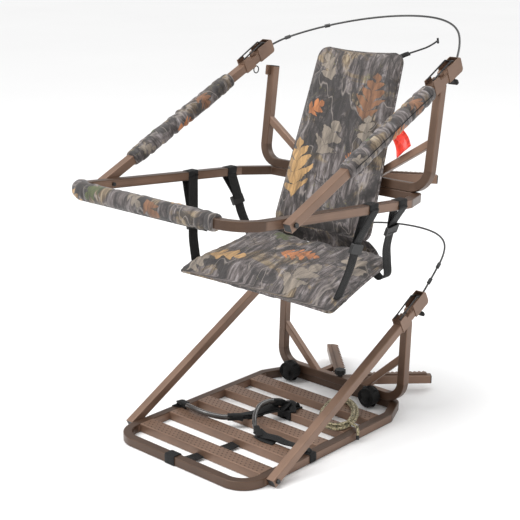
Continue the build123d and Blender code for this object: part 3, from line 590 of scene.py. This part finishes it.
def camo_material(name, leaves, seed):
    """Printed woodland twill: bark, shadow, twigs and the given leaves, on a fine diagonal weave.

    A leaf is (u, v, angle in degrees, half length, half width, lobes, colour)."""
    s = Shader(name)
    base = s.place(s.uv, shift=(seed, 1.7 * seed, 0))
    streak = s.noise(s.place(base, (62, 11, 1), 0.25), 1.0, 8.0, 0.68, 0.6)
    blotch = s.noise(base, 9.0, 5.0, 0.6, 0.8)
    fine = s.noise(base, 210.0, 4.0, 0.7)
    bark = s.ramp(streak, [(0.34, (0.012, 0.010, 0.010)), (0.45, (0.058, 0.047, 0.045)),
                           (0.54, (0.150, 0.126, 0.122)), (0.66, (0.36, 0.325, 0.325))])
    warm = s.ramp(streak, [(0.34, (0.018, 0.012, 0.008)), (0.47, (0.115, 0.078, 0.045)),
                           (0.58, (0.32, 0.245, 0.155)), (0.72, (0.50, 0.43, 0.32))])
    colour = s.mix(s.ramp(blotch, [(0.54, grey(0.0)), (0.60, grey(1.0))]), bark, warm)
    shade = s.noise(s.place(base, shift=(4.1, 2.2, 0)), 7.0, 6.0, 0.65, 1.2)
    colour = s.mix(s.ramp(shade, [(0.51, grey(0.0)), (0.56, grey(0.84))]), colour, (0.020, 0.017, 0.017))
    moss = s.noise(s.place(base, shift=(9.3, 5.2, 0)), 26.0, 5.0, 0.75, 1.0)
    colour = s.mix(s.ramp(moss, [(0.61, grey(0.0)), (0.67, grey(0.75))]), colour, (0.17, 0.155, 0.070))
    for turn, scale, tone in ((0.5, 5.0, (0.014, 0.011, 0.010)), (-0.7, 8.0, (0.30, 0.26, 0.235))):
        line = s.noise(s.place(base, (1.6, 0.7, 1), turn, (2.2, 7.1 * turn, 0)), scale, 2.5, 0.45, 0.4)
        near = s.math("ABSOLUTE", s.math("SUBTRACT", line, 0.5))
        twig = s.math("SUBTRACT", 1.0, s.math("MULTIPLY", near, 85.0), clamp=True)
        colour = s.mix(s.math("MULTIPLY", twig, 0.85), colour, tone)
    ragged = s.noise(s.uv, 85.0, 3.0)
    drift = s.add("ShaderNodeTexNoise", {"Vector": s.uv, "Scale": 24.0, "Detail": 2.0}).outputs["Color"]
    drift = s.add("ShaderNodeVectorMath", {0: drift, 1: (0.5, 0.5, 0.5)}, operation="SUBTRACT").outputs[0]
    drift = s.add("ShaderNodeVectorMath", {0: drift, "Scale": 0.030}, operation="SCALE").outputs[0]
    warped = s.add("ShaderNodeVectorMath", {0: s.uv, 1: drift}, operation="ADD").outputs[0]
    for leaf in leaves:
        colour = print_leaf(s, colour, warped, ragged, streak, leaf)
    colour = s.mix(s.math("MULTIPLY", fine, 0.30), colour, (0.03, 0.025, 0.022))
    twill = s.wave(s.place(s.uv, turn=0.78), 300.0, "X")
    crumple = s.noise(s.uv, 38.0, 4.0)
    height = s.math("ADD", s.math("MULTIPLY", twill, 0.25), crumple)
    return s.finish(colour, 0.66, height, 0.35, 0.0016, **{"Sheen Weight": 0.18, "Sheen Roughness": 0.5})


# ---------------------------------------------------------------- camera, light and floor

def set_stage():
    """Camera at the reference angle, a pale floor and soft studio light."""
    target = Vector((0, -0.003, 0.503))
    camera = bpy.data.objects.new("camera", bpy.data.cameras.new("camera"))
    bpy.context.scene.collection.objects.link(camera)
    camera.location = (2.1135, -2.3095, 1.4237)
    camera.rotation_euler = (target - camera.location).to_track_quat("-Z", "Y").to_euler()
    camera.data.sensor_width = 36
    camera.data.lens = 81.8
    bpy.context.scene.camera = camera

    s = Shader("pale_floor")
    cloud = s.noise(s.object, 0.6, 2.0)
    colour = s.ramp(cloud, [(0.3, grey(0.94)), (0.8, grey(0.96))])
    size = 60.0
    floor = new_object("floor", [(-size, -size, 0), (size, -size, 0), (size, size, 0), (-size, size, 0)],
                       [(0, 1, 2, 3)])
    floor.location.z = -0.0006
    floor.data.materials.append(s.finish(colour, 0.9))

    for name, place, size, power in (
        ("key", (-2.2, -3.4, 3.6), 2.2, 70),
        ("fill", (3.8, -1.6, 2.2), 2.4, 22),
        ("back", (0.8, 3.2, 3.4), 2.6, 45),
        ("top", (0.3, -0.4, 4.2), 1.8, 40),
    ):
        lamp = bpy.data.objects.new(name, bpy.data.lights.new(name, "AREA"))
        lamp.data.size = size
        lamp.data.energy = power
        lamp.location = place
        lamp.rotation_euler = (Vector((0, 0, 0.5)) - lamp.location).to_track_quat("-Z", "Y").to_euler()
        bpy.context.scene.collection.objects.link(lamp)
    sun = bpy.data.objects.new("sun", bpy.data.lights.new("sun", "SUN"))
    sun.data.energy = 1.55
    sun.data.angle = math.radians(40)
    sun.rotation_euler = Vector((0.9, 1.4, -3.2)).to_track_quat("-Z", "Y").to_euler()
    bpy.context.scene.collection.objects.link(sun)
    world = bpy.data.worlds.new("studio")
    world.use_nodes = True
    background = world.node_tree.nodes["Background"]
    background.inputs["Color"].default_value = WHITE
    background.inputs["Strength"].default_value = 0.56
    bpy.context.scene.world = world
    bpy.context.scene.view_settings.view_transform = "Standard"


# ---------------------------------------------------------------- cords

def cord_points(name, route):
    """The smooth line of a cord's route, in metres."""
    curve = bpy.data.curves.new(name, "CURVE")
    curve.dimensions = "3D"
    curve.resolution_u = 16
    spline = curve.splines.new("NURBS")
    spline.points.add(len(route) - 1)
    for point, place in zip(spline.points, route):
        point.co = (*[c * MM for c in place], 1)
    spline.order_u = 3
    spline.use_endpoint_u = True
    holder = bpy.data.objects.new(name, curve)
    bpy.context.scene.collection.objects.link(holder)
    mesh = bpy.data.meshes.new_from_object(holder)
    points = [v.co.copy() for v in mesh.vertices]
    bpy.data.objects.remove(holder)
    bpy.data.meshes.remove(mesh)
    return points


def strand_radius(angle, s):
    """Radius of wire rope: six outer strands laid in a long twist."""
    lay = 0.042
    return CABLE / 2 * (1 - 0.13 * (1 - abs(math.cos(3 * (angle + TAU * s / lay)))))


def braid_radius(angle, s):
    """Radius of braided cord: small crossing lumps."""
    twist = TAU * s / 0.016
    return ROPE / 2 * (0.96 + 0.06 * math.cos(4 * angle + twist) * math.cos(4 * angle - twist))


def hank_route():
    """The tether's wound turns, three on the slats and two on top of them."""
    turns = [0, 1, 2, 3, 3.4, 4.4, 4.92]
    outward = [-8.6, 0, 8.6, 8.6, 4.3, -4.3, -4.3]
    height = [30.2, 30.2, 30.2, 30.2, 38.4, 38.4, 38.4]
    first = math.radians(232)
    route = []
    for i in range(int(turns[-1] * HANK_POINTS) + 1):
        turn = i / HANK_POINTS
        angle = first + TAU * turn
        out = float(np.interp(turn, turns, outward))
        loose = 1.5 * math.sin(2 * angle + 2.1 * int(turn))
        x = (HANK_LONG + out + loose) * math.cos(angle)
        y = (HANK_SHORT + out) * math.sin(angle)
        route.append((
            HANK_CENTRE[0] + x * math.cos(HANK_TURN) - y * math.sin(HANK_TURN),
            HANK_CENTRE[1] + x * math.sin(HANK_TURN) + y * math.cos(HANK_TURN),
            float(np.interp(turn, turns, height)),
        ))
    return route


def build_cords():
    """The two trunk cables, the backrest's lanyard and the tether rope."""
    for section, route, length in (("seat", UPPER_CABLE, 0.91), ("platform", LOWER_CABLE, 0.905)):
        name = f"{section}_cable_line"
        points = cord_points(name, route)
        cable = tube(name, points, strand_radius, count=24, step=0.0016)
        cable.data.materials.append(LOOKS["cable"])
        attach(cable, f"{section}_arms")
        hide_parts(f"{section}_cable")

    points = cord_points("lanyard_line", LANYARD_ROUTE)
    lanyard = tube("lanyard_line", points, LANYARD / 2, count=12, step=0.003)
    lanyard.data.materials.append(LOOKS["webbing"])
    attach(lanyard, "backrest")
    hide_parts("backrest_lanyard")

    tab = ribbon("lanyard_tab", [(0.118, 0.428, 1.018), (0.131, 0.441, 1.031), (0.140, 0.4545, 1.0375),
                                 (0.141, 0.470, 1.0395)], (1, 0.2, -1), 0.013, 2.6 * MM, 0.003)
    finish_web(tab, "backrest")

    points = cord_points("tether_rope", hank_route() + ROPE_TAIL)
    rope = tube("tether_rope", points, braid_radius, count=20, step=0.0022)
    rope.data.materials.append(LOOKS["rope"])
    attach(rope, "platform_section")
    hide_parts("tether_hank", "tether_tail")


# ---------------------------------------------------------------- padding

def build_cushions():
    """The seat cushion and the backrest, with the piping round their seams."""
    seat, outline, columns = cushion(
        "seat_pad", (-42, 432), (272, 496), 284, 240, 48, 0.014, 0.31, drop=0.010
    )
    back, back_outline, back_columns = cushion(
        "backrest_pad", (255, 533), (433, 1040), 178, 151, 32, 0.030, 1.13, pull=0.006
    )
    stuff(seat, columns, 0.008)
    stuff(back, back_columns, 0.007)
    seat_leaves = [
        (0.43, 0.075, 78, 0.080, 0.052, 3, PALE), (0.345, 0.175, 12, 0.066, 0.042, 5, ORANGE),
        (0.15, 0.085, 15, 0.064, 0.036, 3, TAN), (0.515, 0.20, 125, 0.055, 0.040, 3, PALE),
        (0.21, 0.265, 330, 0.045, 0.032, 3, OLIVE), (0.08, 0.03, 50, 0.040, 0.030, 3, PALE),
    ]
    back_leaves = [
        (1.10, 0.27, 60, 0.060, 0.050, 3, PALE), (1.005, 0.17, 98, 0.092, 0.068, 5, TAN),
        (1.215, 0.405, 84, 0.072, 0.050, 5, RUST), (1.225, 0.31, 95, 0.045, 0.030, 3, PALE),
        (1.195, 0.215, 60, 0.026, 0.022, 5, ORANGE), (1.03, 0.355, 40, 0.040, 0.026, 3, ORANGE),
        (1.04, 0.48, 120, 0.050, 0.030, 3, PALE),
    ]
    for piece, line, leaves, seed, body, node in (
        (seat, outline, seat_leaves, 3.1, "seat_section", "seat_cushion"),
        (back, back_outline, back_leaves, 7.7, "backrest", "backrest_cushion"),
    ):
        subdivide(piece)
        piece.data.materials.append(camo_material(f"camo_{node}", leaves, seed))
        piping = tube(f"{piece.name}_piping", line, 3.0 * MM, count=10, step=0.004)
        piping.data.materials.append(LOOKS["piping"])
        for part in (piece, piping):
            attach(part, body)
        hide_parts(node)


def build_joining_flap():
    """The fabric hinge that joins the backrest's foot to the seat's rear seam."""
    seat_edge, back_edge = Vector((0, 0.2735, 0.489)), Vector((0, 0.2560, 0.5345))
    seat_half, back_half = 0.205, 0.176
    columns, rows = 44, 12
    rings, uvs = [], []
    for i in range(rows + 1):
        v = i / rows
        ring, row = [], []
        for j in range(columns + 1):
            u = 2 * j / columns - 1
            half = seat_half + (back_half - seat_half) * v
            arch = math.sin(math.pi * v)
            sag = 0.007 * arch * (1 + 0.35 * math.sin(13 * u))
            ring.append(seat_edge.lerp(back_edge, v) + Vector((u * half, sag, -0.002 * arch)))
            row.append((u * half + 1.13, 0.06 * v - 0.06))
        rings.append(ring)
        uvs.append(row)
    flap = loft("joining_flap", rings, uvs, close=False)
    thickness = flap.modifiers.new("Thickness", "SOLIDIFY")
    thickness.thickness = 1.6 * MM
    flap.data.materials.append(LOOKS["piping"])
    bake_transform(flap)


def finish_sleeve(piece, seam, body, node, leaves, seed):
    """The print and the dark seam of one padded sleeve, attached to its body, with the CAD node that it
    stands for hidden.
    """
    piece.data.materials.append(camo_material(f"camo_{piece.name}", leaves, seed))
    seam.data.materials.append(LOOKS["webbing"])
    for part in (piece, seam):
        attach(part, body)
    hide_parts(node)


def build_sleeves():
    """Padded sleeves on both folding arms and on the front bar."""
    up = SEAT_ARM_PLACE.to_3x3() @ Vector((0, 0, 1))
    for side, start, end, seed in ((-1, 0.1147, 0.5476, 2.4), (1, 0.222, 0.6068, 3.6)):
        name = "left" if side < 0 else "right"
        path = [SEAT_ARM_PLACE @ Vector((side * SEAT_ARM_X, start + (end - start) * i / 40, 0))
                for i in range(41)]
        pinches = [(0.12, 0.0030, 0.004), (0.24, 0.0022, -0.006), (0.38, 0.0034, 0.006),
                   (0.47, 0.0040, -0.004), (0.53, 0.0030, 0.005), (0.70, 0.0020, 0.007),
                   (0.86, 0.0032, -0.003)]
        piece, line, sides = sleeve(f"armrest_sleeve_{name}", path, 0.0236, up, pinches, seed)
        leaves = [
            (seed + 0.21, 0.06, 15, 0.045, 0.030, 5, ORANGE), (seed + 0.27, 0.115, 160, 0.04, 0.026, 3, TAN),
            (seed + 0.05, 0.03, 40, 0.035, 0.02, 3, PALE), (seed + 0.30, 0.02, 80, 0.04, 0.028, 5, RUST),
            (seed + 0.12, 0.12, 120, 0.03, 0.02, 3, OLIVE),
        ]
        seam = seam_line(f"armrest_seam_{name}", line, sides, 0.0238, math.radians(-100 * side + 180))
        finish_sleeve(piece, seam, "seat_arms", f"armrest_pad_{name}", leaves, seed * 2)

    bend = FRONT_BEND
    corner = Vector((-RAIL_X + bend, FRONT_BAR_Y + bend, 0))
    path = []
    for i in range(25):
        angle = math.radians(-152 + 62 * i / 24)
        path.append(corner + Vector((math.cos(angle), math.sin(angle), 0)) * bend)
    path += [Vector((corner.x + (0.232 - corner.x) * i / 40, FRONT_BAR_Y, 0)) for i in range(1, 41)]
    path = [SEAT_PLACE @ p for p in path]
    pinches = [(0.10, 0.0030, 0.004), (0.17, 0.0032, -0.004), (0.33, 0.0022, 0.006),
               (0.52, 0.0020, -0.008), (0.74, 0.0024, 0.006), (0.90, 0.0030, -0.003)]
    piece, line, sides = sleeve("front_bar_sleeve", path, 0.0243, (0, 0, 1), pinches, 5.2)
    leaves = [
        (5.25, 0.06, 20, 0.05, 0.032, 5, TAN), (5.40, 0.11, 170, 0.05, 0.034, 5, ORANGE),
        (5.55, 0.05, 60, 0.045, 0.03, 3, RUST), (5.62, 0.13, 100, 0.04, 0.03, 5, TAN),
        (5.33, 0.02, 140, 0.04, 0.024, 3, OLIVE), (5.48, 0.015, 30, 0.04, 0.024, 3, PALE),
    ]
    seam = seam_line("front_bar_seam", line, sides, 0.0243, math.radians(150))
    finish_sleeve(piece, seam, "seat_section", "front_pad", leaves, 9.4)


# ---------------------------------------------------------------- webbing

def finish_web(piece, body, *nodes):
    """The black webbing look and body of a piece, and the CAD nodes that it stands for."""
    piece.data.materials.append(LOOKS["webbing"])
    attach(piece, body)
    if nodes:
        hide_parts(*nodes)


def build_seat_straps():
    """Four straps from the side rails, doubled down to a buckle, to the seat's corners."""
    layout = [
        ("front_left", -1, -0.312, (-0.268, 0.012, 0.447), 0.55),
        ("rear_left", -1, -0.148, (-0.240, 0.216, 0.491), 0.40),
        ("front_right", 1, -0.274, (0.268, 0.004, 0.446), 0.40),
        ("rear_right", 1, -0.146, (0.240, 0.226, 0.492), 0.36),
    ]
    over = HALF_TUBE + 1.3 * MM
    for name, side, y, foot, share in layout:
        rail = Vector((side * RAIL_X, y, 0))
        under = SEAT_PLACE @ (rail + Vector((0, 0, -over)))
        foot = Vector(foot)
        buckle = under.lerp(foot, share)
        loop = [buckle + Vector((-1.2 * MM, 0, -0.010)), buckle + Vector((-1.4 * MM, 0, 0.012))]
        for x, z in ((-1, -0.7), (-1, 0), (-1, 0.8), (-0.8, 1.02), (0, 1.04), (0.8, 1.02),
                     (1, 0.8), (1, 0), (1, -0.7)):
            loop.append(SEAT_PLACE @ (rail + Vector((x * over, 0, z * over))))
        loop += [buckle + Vector((1.4 * MM, 0, 0.012)), buckle + Vector((1.2 * MM, 0, -0.010))]
        piece = ribbon(f"seat_strap_{name}_loop", loop, (0, 1, 0), STRAP_WIDTH, 2.0 * MM, 0.0025)
        finish_web(piece, "seat_section")
        start = buckle + Vector((0, 0, 0.008))
        tail = [start, buckle.lerp(foot, 0.4) + Vector((side * 0.004, 0, 0)), foot]
        if name == "rear_right":
            tail = [start, buckle.lerp(foot, 0.5) + Vector((0.004, 0, 0))]
            for step in ((0.020, 0.006, 0.006), (0.022, 0.006, -0.030), (0.004, 0.002, -0.043),
                         (-0.020, -0.004, -0.024)):
                tail.append(foot + Vector(step))
        piece = ribbon(f"seat_strap_{name}_tail", tail, (0, 1, 0), STRAP_WIDTH, 2.2 * MM)
        finish_web(piece, "seat_section")
        if name.startswith("front"):
            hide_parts(f"seat_straps_{name.split('_')[1]}")


def wrap_path(width, height, low, gap=1.4 * MM):
    """A webbing wrap over a tube: up one side, over the top and down the other."""
    w, h = width / 2 + gap, height + gap
    return [(-w, low), (-w, 0.4 * h), (-w, 0.86 * h), (-0.86 * w, h), (0, h + 0.3 * MM), (0.86 * w, h),
            (w, 0.86 * h), (w, 0.4 * h), (w, low)]


def foot_web(name, points, across, width, nodes=(), end_across=None, thick=2.4 * MM):
    """Webbing on the platform along points in millimetres."""
    path = [Vector(p) * MM for p in points]
    piece = ribbon(name, path, across, width * MM, thick, 0.003, end_across)
    finish_web(piece, "platform_section", *nodes)


def foot_tube_radius(angle, s):
    """Radius of a foot loop's vinyl tube, a little flattened."""
    return 8.2 * MM * (1 - 0.16 * abs(math.sin(angle)) ** 2)


def build_foot_straps():
    """Foot loops with their webbing, and the wraps on the platform's tubes."""
    loops = {
        "left": [(-226, -90, 36), (-178, -100, 40), (-124, -98, 38), (-78, -78, 34), (-52, -52, 34)],
        "right": [(-8, 86, 50), (-14, 52, 60), (-12, 10, 60), (6, -30, 50), (34, -62, 38), (66, -84, 34)],
    }
    for name, route in loops.items():
        path = [Vector(p) * MM for p in route]
        piece = tube(f"foot_tube_{name}", smooth_path(path), foot_tube_radius, count=20, step=0.004)
        piece.data.materials.append(LOOKS["vinyl"])
        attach(piece, "platform_section")
        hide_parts(f"foot_loop_{name}")
        for end, inward in ((0, 1), (-1, -2)):
            run = (path[end] - path[inward]).normalized()
            cuff = [path[end] - run * 0.022, path[end] - run * 0.004, path[end] + run * 0.012,
                    path[end] + run * 0.024 - Vector((0, 0, 0.004))]
            across = (0, 0, 1) if abs(run.z) < 0.5 else (0, 1, 0)
            piece = ribbon(f"foot_cuff_{name}_{end + 1}", cuff, across, 0.0175, 0.0155)
            finish_web(piece, "platform_section")

    foot_web("foot_web_left", [(-58, -58, 34), (-44, -34, 37), (-30, 10, 33), (-22, 46, 36), (-10, 86, 36)],
             (0.9, -0.3, 0.3), 26, ["foot_webbing"], (0.9, -0.2, -0.5), 4 * MM)
    foot_web("foot_web_left_tail", [(-40, -40, 30), (-26, 0, 27.5), (-14, 40, 29), (4, 78, 30)],
             (0.95, -0.25, 0.1), 24)
    foot_web("foot_web_right", [(60, -80, 35), (92, -88, 33), (130, -84, 36), (166, -82, 33),
                                (206, -78, 34), (232, -76, 31)],
             (0, 1, 0.25), 28, (), (0, 1, -0.2), 3.4 * MM)
    foot_web("foot_web_right_tail", [(70, -92, 28), (104, -100, 29), (140, -96, 27.6)], (0.2, 1, 0.1), 24)
    foot_web("foot_web_left_anchor", [(-222, -90, 36), (-236, -90, 40), (-247, -90, 31)],
             (0, 1, 0.1), 26, thick=3.4 * MM)

    # Wraps: the slat's middle strap with its bunched knot, both side tubes and the front bar.
    slat = wrap_path(SLAT_WIDTH, TUBE, 0.002)
    for name, x, lift, width, nodes in (
        ("slat_wrap_low", 4, 0.0, 34, ["center_strap"]), ("slat_wrap_high", 22, 0.0026, 30, []),
    ):
        points = [(x * MM, SLAT_PITCH + a, b + (lift if b > 0.02 else 0)) for a, b in slat]
        piece = ribbon(name, points, (1, 0, 0), width * MM, step=0.0025)
        finish_web(piece, "platform_section", *nodes)
    foot_web("slat_knot_a", [(-16, 98, 31), (-6, 106, 42), (12, 116, 47), (28, 120, 38), (24, 126, 30)],
             (0.2, 1, 0.2), 26, (), (0, 1, -0.5), 3 * MM)
    foot_web("slat_knot_b", [(-6, 132, 30), (-2, 122, 40), (8, 108, 45), (10, 94, 38), (2, 88, 30)],
             (1, 0.3, 0), 28, (), (1, -0.3, 0.3), 3 * MM)
    foot_web("slat_knot_c", [(-14, 112, 35), (4, 116, 41), (24, 108, 41), (36, 100, 34), (42, 92, 29)],
             (0.1, 0.9, 0.4), 20, thick=3 * MM)

    side = wrap_path(TUBE, TUBE, 0.002, 1.2 * MM)
    for name, x, y, nodes in (
        ("left", -SIDE_TUBE_X, -0.090, ["side_wraps"]), ("right", SIDE_TUBE_X, -0.076, []),
    ):
        points = [(x + a, y + 0.2 * a, b) for a, b in side]
        piece = ribbon(f"side_wrap_{name}", points, (0, 1, 0), 0.026, step=0.0025)
        finish_web(piece, "platform_section", *nodes)
    foot_web("side_wrap_knot", [(218, -86, 30), (230, -82, 36), (241, -76, 34), (249, -73, 29)],
             (0.1, 1, 0.3), 22, (), (0, 1, -0.3), 3 * MM)

    front = [(-0.020, FRONT_TUBE_Y + a, b) for a, b in wrap_path(TUBE, TUBE, 0.001)]
    piece = ribbon("front_wrap", front, (1, 0, 0), STRAP_WIDTH, step=0.0025)
    finish_web(piece, "platform_section", "front_strap")
    foot_web("front_under_a", [(2, -313, 10), (8, -285, 8), (14, -257, 8)], (1, 0, 0), 36)
    foot_web("front_under_b", [(26, -203, 8), (31, -172, 7), (36, -142, 8)], (1, 0, 0), 36)


def build_bundles():
    """Rolled spare webbing, tied twice, against the hoop's crossbar."""
    turns, per_turn = 8.5, 14
    core, growth = 0.006, 0.0222
    tie_radius, tie_depth = 0.0302, 0.021
    for number, (x, seed, nodes) in enumerate(((-0.172, 0.4, ["strap_bundles"]), (0.140, 1.9, []))):
        centre = Vector((x, 0.327, 0.034))
        spiral = []
        for i in range(int(turns * per_turn) + 1):
            angle = TAU * i / per_turn + seed
            share = i / (turns * per_turn)
            radius = core + growth * share
            lump = 1 + 0.05 * math.sin(2 * angle + seed) * share
            wander = 0.0015 * math.sin(5 * share + seed)
            spiral.append(centre + Vector((
                radius * lump * math.cos(angle), wander, radius * math.sin(angle) * (2 - lump)
            )))
        piece = ribbon(f"strap_roll_{number}", spiral, (0, 1, 0), STRAP_WIDTH, 2.2 * MM)
        finish_web(piece, "platform_section", *nodes)
        for k, lean in enumerate((-0.35, 0.45)):
            tie = []
            for i in range(17):
                angle = TAU * i / 16 + 0.3
                across = tie_radius * math.cos(angle)
                depth = tie_depth * math.sin(angle) - 0.0005
                tie.append(centre + Vector((lean * across, depth, across * 0.99)))
            piece = ribbon(f"strap_tie_{number}_{k}", tie, (1, 0, -lean), 0.019, 2.0 * MM, 0.003)
            finish_web(piece, "platform_section")


def build_tag():
    """Red nylon streamer, folded round the right brace."""
    corners = [Vector((0.202, 0, 0.076)), Vector((0.246, 0, 0.117)), Vector((0.176, 0, 0.134)),
               Vector((0.210, 0, 0.166))]
    columns, rows = 22, 26
    verts, faces, uvs = [], [], []
    for i in range(rows + 1):
        v = i / rows
        for j in range(columns + 1):
            u = j / columns
            flat = (corners[0].lerp(corners[1], u)).lerp(corners[2].lerp(corners[3], u), v)
            fold = 0.0045 * math.sin(u * 9 + 1.6 * v) * (0.25 + 0.75 * v) + 0.006 * math.sin(2.6 * v)
            place = Vector((0.004 * math.sin(5 * v) * v, fold - HALF_TUBE - 0.0035, TUBE))
            verts.append(SEAT_PLACE @ (flat + place))
    for i in range(rows):
        for j in range(columns):
            a = i * (columns + 1) + j
            faces.append((a, a + 1, a + columns + 2, a + columns + 1))
            for du, dv in ((0, 0), (1, 0), (1, 1), (0, 1)):
                uvs.append(((j + du) / columns * 0.06, (i + dv) / rows * 0.062))
    tag = new_object("tag_streamer", verts, faces, uvs)
    modifier = tag.modifiers.new("Thickness", "SOLIDIFY")
    modifier.thickness = 0.0007
    tag.data.materials.append(LOOKS["tag"])
    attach(tag, "seat_section")
    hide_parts("hang_tag")


# ---------------------------------------------------------------- hard details

def circle(x, y, radius, z, count=10):
    """Points of a level circle."""
    angles = [TAU * k / count for k in range(count)]
    return [(x + radius * math.cos(a), y + radius * math.sin(a), z) for a in angles]


def build_punched_holes():
    """Raised punched-hole rims in staggered rows on top of each foot slat, each with a disc of painted shade
    for the hole.
    """
    rows, pitch, row_pitch, reach = 4, 0.0145, 0.0118, 0.224
    rim, bore = 0.0030, 0.0018
    count = 10
    rim_verts, rim_faces, hole_verts, hole_faces = [], [], [], []
    for slat in range(SLAT_COUNT):
        for row in range(rows):
            y = (slat - SLAT_COUNT // 2) * SLAT_PITCH + (row - (rows - 1) / 2) * row_pitch
            x = 0.002 - reach + (pitch / 2 if row % 2 else 0)
            while x < reach:
                base = len(rim_verts)
                for radius, height in ((rim, 0.0001), (0.82 * rim, 0.0006), (bore, 0.0007), (bore, 0.0002)):
                    rim_verts += circle(x, y, radius, TUBE + height)
                for ring in (0, 1, 2):
                    for k in range(count):
                        a, b = base + ring * count + k, base + ring * count + (k + 1) % count
                        rim_faces.append((a, b, b + count, a + count))
                # Painted shade: a dark disc over each bore stands for the shade inside the hole.
                hole_faces.append(tuple(range(len(hole_verts), len(hole_verts) + count)))
                hole_verts += circle(x, y, bore, TUBE + 0.0003)
                x += pitch
    rims = new_object("slat_punch_rims", rim_verts, rim_faces)
    hole_shade_discs = new_object("slat_hole_shade_discs", hole_verts, hole_faces)
    rims.data.materials.append(LOOKS["frame"])
    hole_shade_discs.data.materials.append(hole_shade_material())
    for piece in (rims, hole_shade_discs):
        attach(piece, "platform_section")


LOOKS = {
    "frame": paint_material(),
    "black_plastic": plastic_material(),
    "steel": steel_material(),
    "cable": cable_material(),
    "webbing": webbing_material(),
    "vinyl": vinyl_material(),
    "rope": rope_material(),
    "tag": tag_material(),
    "piping": camo_material("camo_piping", [], 4.4),
}

set_stage()
build_cords()
build_cushions()
build_joining_flap()
build_sleeves()
build_seat_straps()
build_foot_straps()
build_bundles()
build_tag()
build_punched_holes()

for subpart in frame["record"]["subparts"]:
    node = frame["nodes"][subpart["node"]]
    look = LOOKS.get(subpart["material_slot"])
    if look and not node.hide_render:
        for slot in node.material_slots:
            slot.material = look
